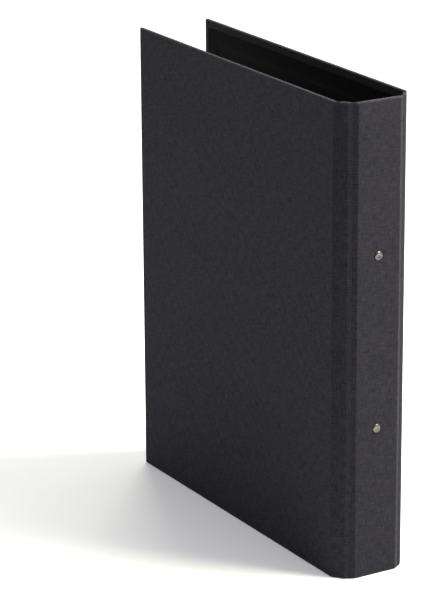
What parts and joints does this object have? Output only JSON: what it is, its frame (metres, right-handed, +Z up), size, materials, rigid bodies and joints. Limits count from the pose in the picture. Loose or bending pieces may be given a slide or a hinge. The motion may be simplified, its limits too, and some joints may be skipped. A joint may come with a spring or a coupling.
{
  "type": "ring binder",
  "caption": "Upright ring binder in book cloth over board, with bevelled double-fold spine corners, hinged covers and a riveted spring ring mechanism.",
  "frame": {"origin": "middle of the bottom edge that the closed binder stands on", "axes": "+Z up along the spine, +Y from the spine to the fore-edge, +X from the back cover to the front cover"},
  "size_m": [0.055, 0.2576, 0.32],
  "materials": {
    "book_cloth": "matte",
    "greyboard": "matte",
    "lining_paper": "matte",
    "sheet_steel": "satin",
    "ring_wire": "polished",
    "rivet_nickel": "satin"
  },
  "bodies": {
    "spine": {"spine_board": "greyboard", "spine_cloth": "book_cloth", "spine_lining": "lining_paper", "upper_rivet": "rivet_nickel", "lower_rivet": "rivet_nickel", "cover_plate": "sheet_steel"},
    "back_strip": {"back_strip_board": "greyboard", "back_strip_cloth": "book_cloth", "back_strip_lining": "lining_paper", "back_spine_joint": "book_cloth", "back_cover_joint": "book_cloth"},
    "front_strip": {"front_strip_board": "greyboard", "front_strip_cloth": "book_cloth", "front_strip_lining": "lining_paper", "front_spine_joint": "book_cloth", "front_cover_joint": "book_cloth"},
    "back_cover": {"back_board": "greyboard", "back_cloth": "book_cloth", "back_lining": "lining_paper"},
    "front_cover": {"front_board": "greyboard", "front_cloth": "book_cloth", "front_lining": "lining_paper"},
    "back_leaf": {"back_leaf": "sheet_steel", "upper_back_half_ring": "ring_wire", "lower_back_half_ring": "ring_wire"},
    "front_leaf": {"front_leaf": "sheet_steel", "upper_front_half_ring": "ring_wire", "lower_front_half_ring": "ring_wire"}
  },
  "joints": [
    {"name": "back_strip_fold", "type": "hinge", "parent": "spine", "child": "back_strip", "pos_m": [-0.01858, -0.12608, 0.16], "axis": [0, 0, 1], "range_deg": [-2.5, 49], "deforming": ["back_spine_joint"]},
    {"name": "back_cover_fold", "type": "hinge", "parent": "back_strip", "child": "back_cover", "pos_m": [-0.02559, -0.11915, 0.16], "axis": [0, 0, 1], "range_deg": [-2.1, 41.01], "deforming": ["back_cover_joint"]},
    {"name": "front_strip_fold", "type": "hinge", "parent": "spine", "child": "front_strip", "pos_m": [0.01858, -0.12608, 0.16], "axis": [0, 0, -1], "range_deg": [-2.5, 49], "deforming": ["front_spine_joint"]},
    {"name": "front_cover_fold", "type": "hinge", "parent": "front_strip", "child": "front_cover", "pos_m": [0.02559, -0.11915, 0.16], "axis": [0, 0, -1], "range_deg": [-2.1, 41.01], "deforming": ["front_cover_joint"]},
    {"name": "rings_open", "type": "hinge", "parent": "spine", "child": "back_leaf", "pos_m": [-0.0073, -0.124, 0.16], "axis": [0, 0, 1], "range_deg": [0, 16]},
    {"name": "front_rings_open", "type": "hinge", "parent": "spine", "child": "front_leaf", "pos_m": [0.0073, -0.124, 0.16], "axis": [0, 0, -1], "range_deg": [0, 16]}
  ],
  "couplings": [
    {"joint": "back_cover_fold", "follows": "back_strip_fold", "ratio": 0.83674},
    {"joint": "front_cover_fold", "follows": "front_strip_fold", "ratio": 0.83674},
    {"joint": "front_rings_open", "follows": "rings_open", "ratio": 1}
  ]
}
